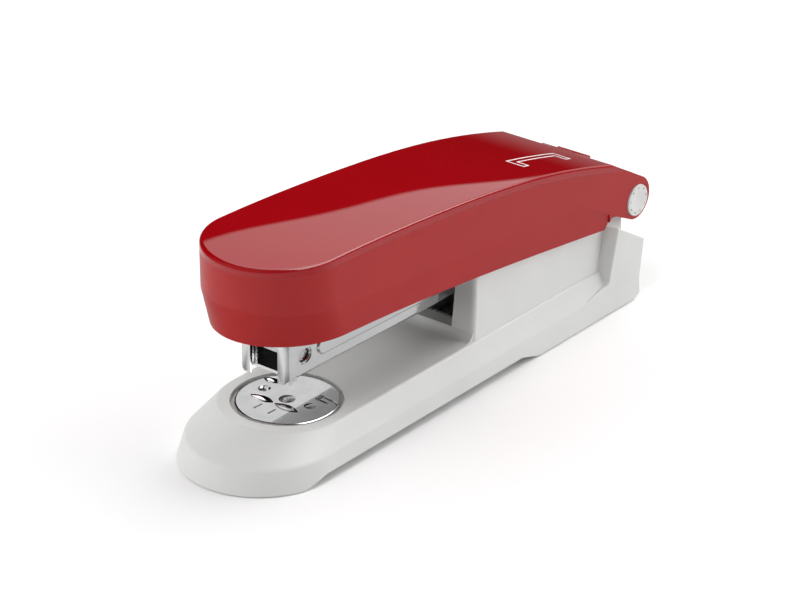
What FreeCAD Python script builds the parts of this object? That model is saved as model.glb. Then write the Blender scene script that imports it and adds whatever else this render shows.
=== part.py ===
"""Desk stapler: plastic base, turning anvil, steel magazine and red cover, one STEP file per piece.

Millimetres, +Z up, +X towards the hinge.  Inside this script X is counted from the anvil's centre, and
every piece is moved at the end so that the origin is the centre of the object's footprint on the floor.
"""
import FreeCAD, Part
import math
import os

V = FreeCAD.Vector

# ---------------------------------------------------------------- driving dimensions
# base foot
FOOT_TIP_X = -31.3          # front tip of the foot at the floor
FOOT_HALF_WIDTH = 21.65     # at the floor
CREASE_TIP_X = -28.8
CREASE_HALF_WIDTH = 20.6
CREASE_Z = 6.5              # where the drafted side turns into the sloping shoulder
DECK_HALF_WIDTH = 17.65
DECK_Z = 12.2               # flat top of the foot
RIM_Z = 0.3                 # the plastic stops above the floor, the rubber pads touch it
WALL = 2.0
CAVITY_TOP_Z = 10.3
ARCH_Z = 2.3                # the middle of the underside is raised by this much
ARCH_X = (-18.0, -10.0, 70.7, 78.6)
BASE_REAR_X = 126.9
REAR_FACE = ((121.3, 0.3), (124.6, 1.5), (126.9, 17.0))     # the foot's rear end from the side
CREASE_ROUND = 1.5
DECK_ROUND = 1.0
RIB_BASE_Z = 2.7            # the ribs stop above the floor
CROSS_RIB_X = 13.0          # first of the cross ribs
CROSS_RIB_PITCH = 14.5
CROSS_RIBS = 8
RIB = 1.2
BASE_RIB_Y = (-12.0, -4.2, 4.2, 12.0)
LAND_Z = (2.4, 4.2)         # shelves that the rubber pads are glued to

# tower around the rear of the magazine
TOWER_FRONT_X = 54.1
TOWER_HALF_WIDTH = 17.4     # at the deck
TOWER_TOP_HALF_WIDTH = 15.9
TOWER_TOP_Z = (34.0, 30.5)  # front, rear
TOWER_REAR_X = 113.5
TOWER_INNER_HALF_WIDTH = 14.0
MOUTH_HALF_WIDTH = 9.9      # opening in the tower's front wall
MOUTH_SILL_Z = 14.4
TOE_RADIUS = 2.0            # where the tower's front meets the deck
TOWER_ROUND = 1.2
TOWER_WALL = 4.6            # front wall, measured at the deck

# rear columns, outside the tower
COLUMN_INNER_Y = 16.9
COLUMN_OUTER_Y = 20.75
COLUMN_TOP = ((114.5, 24.3), (126.9, 17.0))
COLUMN_FOOT = ((97.0, 6.3), (106.7, 8.0), (109.3, 8.4), (110.4, 9.0), (111.0, 10.2))
COLUMN_SKEW = 0.43          # the columns' front faces look outwards: X per mm of Y
COLUMN_ROUND = 0.4
COLUMN_SINK = 0.6           # how far the columns reach into the tower's walls

# hinge
HINGE_X = 125.3
HINGE_Z = 28.5
PIN_RADIUS = 2.0
RUNNING_GAP = 0.05          # radial clearance of a turning fit
EAR_RADIUS = 4.0
EAR_REAR_X = 121.9          # the tower's ears end here, under the hinge
SCREW_X = (70.0, 102.0)
SCREW_Y = 5.0
SCREW_RADIUS = 1.2
POST_OUTER_RADIUS = 3.2     # the screws' posts under the deck
RAIL_HALF_WIDTH = 1.6       # two rails on the deck carry the frame
SCREW_HEAD_RADIUS = 2.3
SCREW_HEAD_HEIGHT = 1.1
FRAME_Z = (13.5, 14.7)
FRAME_EAR_Y = (9.7, 10.9)
FRAME_FLANGE = ((64.0, 13.5), (66.0, 19.0), (104.0, 19.0), (110.0, 25.0), (119.0, 22.0), (119.0, 13.5))
TOWER_EAR_Y = (14.2, 16.3)

# anvil
RECESS_RADIUS = 14.5
RECESS_FLOOR_Z = 11.0
DISC_RADIUS = 13.4
DISC_Z = (11.15, 12.1)
ANVIL_SHANK_RADIUS = 2.0
BUTTON_RADIUS = 6.2
BUTTON_Z = 2.5
TUBE_RADIUS = 8.6           # guide of the anvil's button
BUTTON_STEM_RADIUS = 3.0

# magazine, in its own frame: x along the channel, z up from the channel's underside
MAG_TILT = 0.985            # degrees, nose up
MAG_Z0 = 21.75              # underside above the floor at X = 0
MAG_HALF_WIDTH = 7.3
MAG_HEIGHT = 10.0
STEEL = 0.8
NOSE_X = -8.6
COLUMN_REAR_X = -4.9
SLOT_X = (-7.9, -5.95)      # driver slot
CORE_HALF_WIDTH = 5.4
CORE_TOP = 6.9
WIRE = 0.5                  # staple wire thickness
LEG_WIDTH = 0.65
STRIP_LENGTH = 26.0         # fifty staples
ROD_Z = 3.5
ROD_RADIUS = 1.4
FOLLOWER_LENGTH = 14.0
STOP_X = 97.5
CORE_PIN_X = (103.0, 109.0)
CORE_PIN_Z = 3.4
CORE_PIN_RADIUS = 1.2
BRACKET_THICKNESS = 0.4     # nose bracket outside the channel
BRACKET_Z = (-0.35, 10.5)
BRACKET_WINDOW = (4.5, 8.9) # half width and top of its front opening
LONG_RIB_X = (5.6, 90.0)    # centres of the side rib's round ends
LONG_RIB_Z = 5.7
LONG_RIB_RADIUS = 2.3
HOLE_X = (-1.75, -0.95)     # centres of the side hole's round ends
HOLE_Z = 5.45
HOLE_RADIUS = 1.75

# cover
COVER_HALF_WIDTH = 19.0
COVER_NOSE_X = -2.7         # centre of the nose's half circle
HEM_HALF_WIDTH = 18.4       # the lower band leans in to this outline at the hem
HEM_NOSE_X = 2.6
HEM_NOSE_DEPTH = 21.9
HEM_DROP = 9.4              # from the crease down to the hem, at the nose
COVER_INNER_HALF_WIDTH = 17.2
COVER_INNER_NOSE_X = -0.9
PANEL_THICKNESS = 2.2
LID_EDGE_RADIUS = 0.9
CEILING_THICKNESS = 1.8
TONGUE_HALF_WIDTH = 5.4
TONGUE_REACH = (0.2, 8.6, 9.6)  # start, grip bar and end, measured down the slope from its top edge
TONGUE_THICKNESS = 0.2
GRIP_HEIGHT = 0.9
SLOPE_TOP = (113.3, 43.0)   # rear top edge of the cover
BOSS_CENTRE = (125.0, 29.2)
BOSS_RADIUS = 6.15
CAP_RADIUS = 4.53
CAP_SEAT_Y = 18.0
CAP_FACE_Y = 19.45
CAP_DISH_RADIUS = 24.0
CAP_DOTS = 9
CAP_DOT_RADIUS = 0.27
CAP_DOT_CIRCLE = 3.65
CREASE_LINE = ((-30.0, 46.9), (98.7, 35.2), (112.5, 28.5))
COVER_TOP_LINE = (
    (-40.0, 57.2), (0.0, 57.95), (30.0, 56.4), (56.0, 54.1), (86.5, 49.6), (110.0, 43.9), (140.0, 34.6),
)
COVER_BOTTOM_LINE = ((-40.0, 37.4), (-19.0, 36.6), (10.0, 35.2), (48.0, 32.0), (73.0, 29.2), (111.0, 24.3))
COVER_REAR_CORNER = ((115.6, 26.9), (113.4, 27.3))     # step in the lower edge in front of the bosses
BOSS_END = 242.0            # degrees round the boss, where its outline leaves it
POST_RADIUS = 3.4           # posts under the ceiling for the screws of the driver arm

# driver
BLADE_X = (-6.9, -6.35)
BLADE_HALF_WIDTH = 6.3
BLADE_Z = (31.0, 45.6)
RIVET_Z = 43.3
ARM_FRONT_Z = 46.0
ARM_REAR = (112.0, 38.4)
ARM_STEEL = 1.1
ARM_HALF_WIDTH = 9.3
FLANGE_STEEL = 1.0
RIVET_Y = (-3.2, 3.2)
RIVET_RADIUS = 1.0
RIVET_HEAD_RADIUS = 1.4
LEAF_X = (100.0, 92.0, 66.0)    # fixed end, start of the bend and free end of the leaf spring
LEAF_THICKNESS = 0.4
LEAF_HALF_WIDTH = 3.2
COVER_SCREW_X = (24.0, 84.0)

# cutting tools reach this far, further than any piece
BEYOND = 30.0
HIGH = 80.0

# the footprint's centre, which becomes the origin
CENTRE_X = (FOOT_TIP_X + BOSS_CENTRE[0] + BOSS_RADIUS) / 2


# ---------------------------------------------------------------- helpers
def polygon_y(points, y_low, y_high):
    """A closed outline of (x, z) points, extruded along Y."""
    corners = [V(x, y_low, z) for x, z in points]
    face = Part.Face(Part.makePolygon(corners + corners[:1]))
    return face.extrude(V(0, y_high - y_low, 0))


def box(x, y, z):
    """A box from its (low, high) pairs."""
    return Part.makeBox(x[1] - x[0], y[1] - y[0], z[1] - z[0], V(x[0], y[0], z[0]))


def rectangle(x, half_width, z):
    """A closed rectangular wire at height z, from its (low, high) in X and half its width."""
    corners = [(x[0], -half_width), (x[1], -half_width), (x[1], half_width), (x[0], half_width)]
    points = [V(px, py, z) for px, py in corners]
    return Part.makePolygon(points + points[:1])


def cylinder_y(radius, y, x, z):
    return Part.makeCylinder(radius, y[1] - y[0], V(x, y[0], z), V(0, 1, 0))


def cylinder_z(radius, z, x=0.0, y=0.0):
    return Part.makeCylinder(radius, z[1] - z[0], V(x, y, z[0]))


def cylinder_x(radius, x, y, z):
    return Part.makeCylinder(radius, x[1] - x[0], V(x[0], y, z), V(1, 0, 0))


def fused(shapes):
    return shapes[0].multiFuse(shapes[1:]).removeSplitter()


def level_edges(shape, z):
    """The shape's edges that lie flat at height z."""
    return [e for e in shape.Edges if abs(e.BoundBox.ZMin - z) < 0.05 and abs(e.BoundBox.ZMax - z) < 0.05]


def mirrored(shape):
    return shape.mirror(V(0, 0, 0), V(0, 1, 0))


def both_sides(shape):
    """The shape and its mirror image across the middle plane, as a list."""
    return [shape, mirrored(shape)]


def nose_wire(centre_x, half_width, rear_x, z, depth=None):
    """A half circle or half ellipse at the front, straight sides and a square rear end, at height z."""
    left = V(centre_x, half_width, z)
    right = V(centre_x, -half_width, z)
    tip = V(centre_x - (depth or half_width), 0, z)
    rear_right = V(rear_x, -half_width, z)
    rear_left = V(rear_x, half_width, z)
    if depth:
        whole = Part.Ellipse(tip, left, V(centre_x, 0, z))
        nose = Part.ArcOfEllipse(whole, -math.pi / 2, math.pi / 2).toShape()
        if nose.Vertexes[0].Point.distanceToPoint(left) > 0.01:
            nose.reverse()
    else:
        nose = Part.Arc(left, tip, right).toShape()
    return Part.Wire(Part.__sortEdges__([
        nose,
        Part.makeLine(right, rear_right),
        Part.makeLine(rear_right, rear_left),
        Part.makeLine(rear_left, left),
    ]))


def nose_prism(centre_x, radius, rear_x, z):
    face = Part.Face(nose_wire(centre_x, radius, rear_x, z[0]))
    return face.extrude(V(0, 0, z[1] - z[0]))


def smooth_line(points, shift=0.0):
    """A smooth edge through (x, z) points on the middle plane, moved down by shift."""
    curve = Part.BSplineCurve()
    curve.interpolate([V(x, 0, z - shift) for x, z in points])
    return curve


def region_under(points, shift, floor_z, half_width):
    """Everything under a smooth line down to floor_z, as a solid across the object."""
    curve = smooth_line(points, shift)
    start = V(points[0][0], 0, points[0][1] - shift)
    end = V(points[-1][0], 0, points[-1][1] - shift)
    low_end = V(end.x, 0, floor_z)
    low_start = V(start.x, 0, floor_z)
    wire = Part.Wire([
        curve.toShape(),
        Part.makeLine(end, low_end),
        Part.makeLine(low_end, low_start),
        Part.makeLine(low_start, start),
    ])
    wire.translate(V(0, -half_width, 0))
    return Part.Face(wire).extrude(V(0, 2 * half_width, 0))


def arm_to(start, end, radius, y):
    """A flat arm with a round end: from start, an (x, z) point, to the circle about end."""
    along = V(end[0] - start[0], 0, end[1] - start[1])
    along.normalize()
    side = V(-along.z, 0, along.x) * radius
    a, b = V(start[0], 0, start[1]), V(end[0], 0, end[1])
    corners = [a + side, b + side, b - side, a - side]
    bar = polygon_y([(p.x, p.z) for p in corners], *y)
    return bar.fuse(cylinder_y(radius, y, end[0], end[1]))


def coil(radius, wire_radius, height, turns):
    """A helical spring on the Z axis, from z = 0 up."""
    pitch = (height - 2 * wire_radius) / turns
    path = Part.makeHelix(pitch, pitch * turns, radius)
    section = Part.Wire(Part.makeCircle(wire_radius, V(radius, 0, 0), V(0, 1, 0)))
    spring = Part.Wire(path).makePipeShell([section], True, True)
    spring.translate(V(0, 0, wire_radius))
    return spring


def in_magazine(shape):
    """Puts a shape from the magazine's own frame into the object's."""
    placed = shape.copy()
    placed.rotate(V(0, 0, 0), V(0, 1, 0), MAG_TILT)
    placed.translate(V(0, 0, MAG_Z0))
    return placed


def hinge_in_magazine():
    """The hinge axis as (x, z) in the magazine's own frame."""
    tilt = math.radians(MAG_TILT)
    rise = HINGE_Z - MAG_Z0
    x = HINGE_X * math.cos(tilt) - rise * math.sin(tilt)
    z = HINGE_X * math.sin(tilt) + rise * math.cos(tilt)
    return x, z


# ---------------------------------------------------------------- base
def behind_foot():
    """Everything behind the foot's and the columns' leaning rear faces."""
    (x1, z1), (x2, z2), (x3, z3) = REAR_FACE
    far_x = BASE_REAR_X + 15
    outline = [(x1, -1), (x1, z1), (x2, z2), (x3, z3), (x3, z3 + 3), (far_x, z3 + 3), (far_x, -1)]
    return polygon_y(outline, -BEYOND, BEYOND)


def foot_outer():
    """The foot's outside: drafted sides, sloping shoulder, arch and rear end."""
    rear_x = BASE_REAR_X + 1
    floor = nose_wire(FOOT_TIP_X + FOOT_HALF_WIDTH, FOOT_HALF_WIDTH, rear_x, RIM_Z)
    crease = nose_wire(CREASE_TIP_X + CREASE_HALF_WIDTH, CREASE_HALF_WIDTH, rear_x, CREASE_Z)
    deck = nose_wire(0.0, DECK_HALF_WIDTH, rear_x, DECK_Z)
    foot = fused([Part.makeLoft([floor, crease], True, True), Part.makeLoft([crease, deck], True, True)])
    for z, radius in ((CREASE_Z, CREASE_ROUND), (DECK_Z, DECK_ROUND)):
        ring = [e for e in level_edges(foot, z) if e.BoundBox.XMin < rear_x - 0.1]
        foot = foot.makeFillet(radius, ring)
    start, rise, fall, end = ARCH_X
    arch = polygon_y([(start, 0), (rise, ARCH_Z), (fall, ARCH_Z), (end, 0)], -BEYOND, BEYOND)
    return foot.cut(arch).cut(behind_foot())


def rear_column():
    """The column on the +Y side, which leans back beside the tower up to the hinge."""
    start, bend, low, middle, high = [V(x, 0, z) for x, z in COLUMN_FOOT]
    (x1, z1), (x2, z2) = COLUMN_TOP
    end_x = BASE_REAR_X + 4
    end_z = z2 + (z2 - z1) / (x2 - x1) * (end_x - x2)
    corner = Part.Arc(low, middle, high).toShape()
    straight = Part.makePolygon([
        high, V(x1, 0, z1), V(end_x, 0, end_z), V(end_x, 0, RIM_Z), V(start.x, 0, RIM_Z), start, bend, low,
    ])
    side = Part.Face(Part.Wire(Part.__sortEdges__([corner] + straight.Edges)))
    inner_y = COLUMN_INNER_Y - COLUMN_SINK
    thickness = COLUMN_OUTER_Y - inner_y
    side.translate(V(-COLUMN_SKEW * thickness, inner_y, 0))
    column = side.extrude(V(COLUMN_SKEW * thickness, thickness, 0))
    outer_edges = [e for e in column.Edges if e.BoundBox.YMin > COLUMN_OUTER_Y - 0.01]
    rim = [e for e in outer_edges if e.BoundBox.ZMax > 9.0 and e.BoundBox.XMin < end_x - 0.1]
    return column.makeFillet(COLUMN_ROUND, rim).cut(behind_foot())


def tower_outer():
    """The tower as a full block with drafted walls, cut to its falling top edge."""
    rear_x = BASE_REAR_X - 1.2
    top_front_x = TOWER_FRONT_X + 2.8
    top_z, rear_top_z = TOWER_TOP_Z
    low = rectangle((TOWER_FRONT_X, rear_x), TOWER_HALF_WIDTH, DECK_Z - 1)
    high = rectangle((top_front_x, rear_x), TOWER_TOP_HALF_WIDTH, top_z)
    block = Part.makeLoft([low, high], True, True)
    upright = [e for e in block.Edges if abs(e.Vertexes[0].Z - e.Vertexes[-1].Z) > 10]
    block = block.makeFillet(TOWER_ROUND, [e for e in upright if e.CenterOfMass.x < TOWER_FRONT_X + 5])
    (x1, z1), (x2, z2) = COLUMN_TOP
    above = polygon_y([
        (TOWER_FRONT_X - 14, top_z), (top_front_x, top_z), (TOWER_REAR_X, rear_top_z), (x1 - 0.8, z1),
        (x2, z2), (x2 + 14, z2), (x2 + 14, HIGH), (TOWER_FRONT_X - 14, HIGH),
    ], -BEYOND, BEYOND)
    return block.cut(above)


def base_cavity():
    """The hollow underside, one wall thickness inside the outer faces."""
    rear_x = BASE_REAR_X - 4.0
    floor = nose_wire(FOOT_TIP_X + FOOT_HALF_WIDTH, FOOT_HALF_WIDTH - WALL, rear_x, -0.1)
    crease = nose_wire(CREASE_TIP_X + CREASE_HALF_WIDTH, CREASE_HALF_WIDTH - WALL, rear_x, CREASE_Z - 0.6)
    deck = nose_wire(0.0, DECK_HALF_WIDTH - WALL, rear_x, CAVITY_TOP_Z)
    return fused([Part.makeLoft([floor, crease], True, True), Part.makeLoft([crease, deck], True, True)])


def underside_ribs(cavity):
    """Moulded ribs, pad shelves, screw posts and the button's guide tube, all inside the hollow."""
    top_z = CAVITY_TOP_Z + 0.7
    height = (RIB_BASE_Z, top_z)
    cross = [CROSS_RIB_X + CROSS_RIB_PITCH * n for n in range(CROSS_RIBS)]
    ribs = [box((x, x + RIB), (-BEYOND, BEYOND), height) for x in cross + [-RIB / 2]]
    length = (ARCH_X[0] + 0.6, 123.0)
    ribs += [box(length, (y - RIB / 2, y + RIB / 2), height) for y in BASE_RIB_Y]
    ribs.append(box((FOOT_TIP_X - 9, ARCH_X[0] + 0.6), (-BEYOND, BEYOND), LAND_Z))
    ribs.append(box((ARCH_X[3] + 0.6, REAR_FACE[0][0]), (-BEYOND, BEYOND), LAND_Z))
    ribs += [cylinder_z(POST_OUTER_RADIUS, (5.0, top_z), x, y) for x, y in screw_places()]
    ribs.append(cylinder_z(TUBE_RADIUS, (ARCH_Z, top_z)))
    ribs.append(cylinder_z(RECESS_RADIUS + 1.5, (9.0, top_z)))
    return fused(ribs).common(cavity)


def screw_places():
    """The (x, y) of the four screws that hold the steel frame down."""
    return [(x, y) for x in SCREW_X for y in (-SCREW_Y, SCREW_Y)]


def base_shell():
    """The foot with its hollow, ribs and rear columns."""
    cavity = base_cavity()
    outside = fused([foot_outer()] + both_sides(rear_column())).cut(cavity)
    rails = []
    for y in (-SCREW_Y, SCREW_Y):
        rails.append(box((58.7, 118.0), (y - RAIL_HALF_WIDTH, y + RAIL_HALF_WIDTH), (DECK_Z - 0.5, FRAME_Z[0])))
    shell = fused([outside, underside_ribs(cavity)] + rails)
    shell = shell.cut(cylinder_z(RECESS_RADIUS, (RECESS_FLOOR_Z, DECK_Z + 1)))
    shell = shell.cut(cylinder_z(BUTTON_RADIUS + 0.3, (0, 7.6)))
    shell = shell.cut(cylinder_z(BUTTON_STEM_RADIUS + 0.3, (5, 12)))
    for x, y in screw_places():
        shell = shell.cut(cylinder_z(SCREW_RADIUS + 0.05, (5.6, FRAME_Z[1]), x, y))
    return shell


def tower_ear():
    """Upright ear of the tower: a vertical rear edge and a round head about the hinge pin."""
    x1 = TOWER_REAR_X - 1.2
    low_z = MOUTH_SILL_Z + 1.6
    outline = [(x1, 24.9), (123.1, 31.9), (EAR_REAR_X, 25.9), (EAR_REAR_X, low_z), (x1, low_z)]
    return polygon_y(outline, *TOWER_EAR_Y).fuse(cylinder_y(EAR_RADIUS, TOWER_EAR_Y, HINGE_X, HINGE_Z))


def tower_toe():
    """Concave fillet where the tower's front wall rises from the deck."""
    x, z, reach = TOWER_FRONT_X, DECK_Z, TOE_RADIUS
    bulge = reach * (1 - math.sqrt(0.5))
    start, end = V(x - reach, 0, z), V(x + 0.3, 0, z + reach)
    hollow = Part.Arc(start, V(x - bulge, 0, z + bulge), end).toShape()
    rest = Part.makePolygon([end, V(x + 2, 0, z + reach), V(x + 2, 0, z - 0.5), V(x - reach, 0, z - 0.5), start])
    profile = Part.Wire([hollow] + rest.Edges)
    half = TOWER_HALF_WIDTH - 0.5
    profile.translate(V(0, -half, 0))
    return Part.Face(profile).extrude(V(0, 2 * half, 0))


def tower_shell():
    """Housing around the rear of the magazine: three walls and two ears, standing on the foot's deck."""
    foot = foot_outer()
    room = box((TOWER_FRONT_X + TOWER_WALL, TOWER_REAR_X + 9.5),
               (-TOWER_INNER_HALF_WIDTH, TOWER_INNER_HALF_WIDTH), (DECK_Z - 2, HIGH))
    mouth = box((TOWER_FRONT_X - 2, TOWER_FRONT_X + 5),
                (-MOUTH_HALF_WIDTH, MOUTH_HALF_WIDTH), (MOUTH_SILL_Z, HIGH))
    walls = fused([tower_outer(), tower_toe().cut(foot)]).cut(room).cut(mouth)
    tower = fused([walls] + both_sides(tower_ear())).cut(foot)
    for column in both_sides(rear_column()):
        tower = tower.cut(column)
    return tower.cut(cylinder_y(PIN_RADIUS, (-BEYOND, BEYOND), HINGE_X, HINGE_Z))


def base_frame():
    """Folded steel channel on the tower's floor, with two ears that carry the hinge pin."""
    floor = box((58.9, FRAME_FLANGE[-1][0]), (-FRAME_EAR_Y[1], FRAME_EAR_Y[1]), FRAME_Z)
    flange = polygon_y(FRAME_FLANGE, *FRAME_EAR_Y)
    ear = arm_to((113.0, 20.0), (HINGE_X, HINGE_Z), EAR_RADIUS, FRAME_EAR_Y)
    frame = fused([floor] + both_sides(flange) + both_sides(ear))
    frame = frame.cut(cylinder_y(PIN_RADIUS, (-BEYOND, BEYOND), HINGE_X, HINGE_Z))
    for x, y in screw_places():
        frame = frame.cut(cylinder_z(SCREW_RADIUS + 0.3, (13, 15), x, y))
    return frame


def base_screws():
    """Four slotted screws through the frame's floor into the foot's posts."""
    screws = []
    seat = FRAME_Z[1]
    for x, y in screw_places():
        shank = cylinder_z(SCREW_RADIUS, (6.0, seat + 0.1), x, y)
        head = cylinder_z(SCREW_HEAD_RADIUS, (seat, seat + SCREW_HEAD_HEIGHT), x, y)
        slot = box((x - 3, x + 3), (y - 0.3, y + 0.3), (seat + 0.6, seat + 2))
        screws.append(shank.fuse(head).cut(slot))
    return Part.makeCompound(screws)


def front_foot_pad():
    """Rubber pad under the nose of the foot."""
    half = FOOT_HALF_WIDTH - WALL - 0.8
    pad = nose_prism(FOOT_TIP_X + FOOT_HALF_WIDTH + 0.6, half, 0.0, (0, LAND_Z[0]))
    return pad.cut(box((ARCH_X[0] - 0.4, 10), (-BEYOND, BEYOND), (-1, 10)))


def rear_foot_pad():
    """Rubber pad under the rear of the foot."""
    half = FOOT_HALF_WIDTH - WALL - 0.8
    return box((ARCH_X[3] + 1.0, 120.5), (-half, half), (0, LAND_Z[0]))


def hinge_pin():
    """Steel pin through the ears, the magazine, the driver arm and the cover."""
    pin = cylinder_y(PIN_RADIUS, (-18.0, 18.0), HINGE_X, HINGE_Z)
    return pin.makeChamfer(0.3, [e for e in pin.Edges if e.Closed])


def hinge_sleeve():
    """Spacer tube on the pin, between the magazine's two ears."""
    sleeve = cylinder_y(2.9, (-5.2, 5.2), HINGE_X, HINGE_Z)
    return sleeve.cut(cylinder_y(PIN_RADIUS, (-6, 6), HINGE_X, HINGE_Z))


def magazine_lift_spring():
    """Coil between the frame's floor and the magazine, which keeps the throat open."""
    spring = coil(3.6, 0.4, 5.2, 3.0)
    spring.translate(V(86.0, 0, FRAME_Z[1]))
    return spring


# ---------------------------------------------------------------- anvil
def groove(x, y, length, width, depth, angle):
    """A lens-shaped clinching groove cut into the disc's top."""
    radius = (width / 2) ** 2 / (2 * depth) + depth / 2
    tool = Part.makeCylinder(radius, length, V(-length / 2, 0, radius - depth), V(1, 0, 0))
    ends = Part.makeSphere(length, V(0, 0, length - depth))
    tool = tool.common(ends)
    tool.rotate(V(0, 0, 0), V(0, 0, 1), angle)
    tool.translate(V(x, y, DISC_Z[1]))
    return tool


def anvil_disc():
    disc = cylinder_z(DISC_RADIUS, DISC_Z)
    disc = disc.makeFillet(0.3, [e for e in disc.Edges if e.Closed and e.CenterOfMass.z > DISC_Z[1] - 0.1])
    disc = disc.cut(cylinder_z(ANVIL_SHANK_RADIUS, (10, 13)))
    for side in (-1, 1):
        disc = disc.cut(groove(-7.0, side * 3.3, 6.6, 2.0, 0.45, -side * 4))
        disc = disc.cut(groove(6.6, side * 3.6, 5.6, 1.8, 0.4, side * 10))
    disc = disc.cut(cylinder_z(1.5, (10, 13), 0.5, 8.0))
    dimple = Part.makeSphere(1.6, V(-1.5, -8.6, DISC_Z[1] - 1.2))
    return disc.fuse(dimple.common(cylinder_z(3, (DISC_Z[0] + 0.1, 14), -1.5, -8.6)))


def anvil_rivet():
    """Rivet that joins the disc to the button, domed on top."""
    top = DISC_Z[1]
    dome = 6.0
    shank = cylinder_z(ANVIL_SHANK_RADIUS, (3.0, top))
    head = Part.makeSphere(dome, V(0, 0, top - dome + 0.4)).common(cylinder_z(2.4, (top, top + 2)))
    tail = cylinder_z(3.0, (2.7, 3.2))
    return fused([shank, head, tail])


def anvil_washer():
    ring = cylinder_z(3.3, (3.2, 3.7))
    return ring.cut(cylinder_z(ANVIL_SHANK_RADIUS, (3, 4)))


def anvil_button():
    """Push button under the foot that lifts the anvil out of its recess."""
    flange = cylinder_z(BUTTON_RADIUS, (BUTTON_Z, 4.9))
    stem = cylinder_z(BUTTON_STEM_RADIUS, (4.0, RECESS_FLOOR_Z - 0.05))
    button = flange.fuse(stem)
    button = button.cut(cylinder_z(3.6, (2, 3.8)))
    return button.cut(cylinder_z(ANVIL_SHANK_RADIUS + RUNNING_GAP, (2, 12)))


def anvil_spring():
    """Coil that presses the button down."""
    spring = coil(4.4, 0.25, 2.6, 2.0)
    spring.translate(V(0, 0, 4.95))
    return spring


# ---------------------------------------------------------------- magazine
def long_rib(y_in, y_out, grow):
    """A straight rib with round ends, along the side of the channel, grown by grow."""
    radius = LONG_RIB_RADIUS + grow
    (x1, x2), z = LONG_RIB_X, LONG_RIB_Z
    bar = box((x1, x2), (y_in, y_out), (z - radius, z + radius))
    return bar.multiFuse([cylinder_y(radius, (y_in, y_out), x, z) for x in (x1, x2)]).removeSplitter()


def side_hole(grow, y):
    """The oval hole through the channel's sides, grown by grow."""
    radius = HOLE_RADIUS + grow
    x1, x2 = HOLE_X
    bar = box((x1, x2), y, (HOLE_Z - radius, HOLE_Z + radius))
    return bar.multiFuse([cylinder_y(radius, y, x, HOLE_Z) for x in (x1, x2)])


def magazine_channel():
    """Folded steel channel, open at the top, with a long pressed rib and a hole in each side."""
    hx, hz = hinge_in_magazine()
    outer = box((SLOT_X[0], 113.0), (-MAG_HALF_WIDTH, MAG_HALF_WIDTH), (0, MAG_HEIGHT))
    low_edges = [e for e in outer.Edges if e.BoundBox.ZMax < 0.01 and e.BoundBox.YLength < 0.01]
    outer = outer.makeFillet(1.0, low_edges)
    inner_half = MAG_HALF_WIDTH - STEEL
    room = box((-20, 130), (-inner_half, inner_half), (STEEL, 20))
    channel = outer.cut(room).cut(box((-20, SLOT_X[1] + 0.6), (-inner_half, inner_half), (-1, 20)))
    ear_y = (inner_half, MAG_HALF_WIDTH)
    ear = arm_to((108.0, 5.0), (hx, hz), 5.0, ear_y)
    rib = long_rib(MAG_HALF_WIDTH - 0.1, MAG_HALF_WIDTH + 0.5, 0.0)
    rib = rib.makeFillet(0.45, [e for e in rib.Edges if e.BoundBox.YMin > MAG_HALF_WIDTH + 0.4])
    channel = fused([channel] + both_sides(ear) + both_sides(rib))
    for groove_inside in both_sides(long_rib(inner_half - 0.1, MAG_HALF_WIDTH - 0.3, -0.5)):
        channel = channel.cut(groove_inside)
    channel = channel.cut(side_hole(0.0, (-10, 10)))
    for rim in both_sides(side_hole(0.4, (MAG_HALF_WIDTH - 0.25, MAG_HALF_WIDTH + 0.2))):
        channel = channel.cut(rim)
    channel = channel.cut(cylinder_y(3.0, (-10, 10), hx, hz))
    for x in CORE_PIN_X:
        channel = channel.cut(cylinder_y(CORE_PIN_RADIUS, (-10, 10), x, CORE_PIN_Z))
    return in_magazine(channel)


def magazine_nose():
    """Front bracket: two columns in front of the driver slot, joined above it and wrapped round the sides."""
    outer_half = MAG_HALF_WIDTH + BRACKET_THICKNESS
    low_z, high_z = BRACKET_Z
    window_half, window_top = BRACKET_WINDOW
    block = box((NOSE_X, COLUMN_REAR_X), (-outer_half, outer_half), BRACKET_Z)
    front = [e for e in block.Edges if e.BoundBox.ZLength > 9 and e.CenterOfMass.x < NOSE_X + 0.1]
    block = block.makeFillet(1.0, front)
    block = block.cut(box((NOSE_X + 0.7, 0), (-MAG_HALF_WIDTH, MAG_HALF_WIDTH), (-1, high_z + 1)))
    block = block.cut(box((NOSE_X - 1, NOSE_X + 1.6), (-window_half, window_half), (-1, window_top)))
    corner = polygon_y([(NOSE_X + 1.7, -1), (NOSE_X + 2.1, 0.1), (0, 0.1), (0, -1)],
                       outer_half - 1.4, outer_half + 0.5)
    bevel = Part.Face(Part.makePolygon([
        V(NOSE_X - 1, outer_half, -1), V(NOSE_X - 1, outer_half, 0.9), V(NOSE_X - 1, outer_half - 1.25, low_z),
        V(NOSE_X - 1, outer_half - 1.25, -1), V(NOSE_X - 1, outer_half, -1),
    ])).extrude(V(2.0, 0, 0))
    for tool in both_sides(corner) + both_sides(bevel):
        block = block.cut(tool)
    return in_magazine(block)


def staple_core():
    """The rail that the staples straddle, slotted along the top for the follower."""
    outer = box((SLOT_X[1] + 0.3, 112.0), (-CORE_HALF_WIDTH, CORE_HALF_WIDTH), (STEEL, CORE_TOP))
    tops = [e for e in outer.Edges if e.BoundBox.ZMin > CORE_TOP - 0.01 and e.BoundBox.YLength < 0.01]
    outer = outer.makeFillet(0.5, tops)
    inner = box((-20, 120), (-CORE_HALF_WIDTH + 0.7, CORE_HALF_WIDTH - 0.7), (0, CORE_TOP - 0.7))
    core = outer.cut(inner).cut(box((14.0, STOP_X - 1), (-1.1, 1.1), (0, 10)))
    for x in CORE_PIN_X:
        core = core.cut(cylinder_y(CORE_PIN_RADIUS, (-10, 10), x, CORE_PIN_Z))
    return in_magazine(core)


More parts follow.
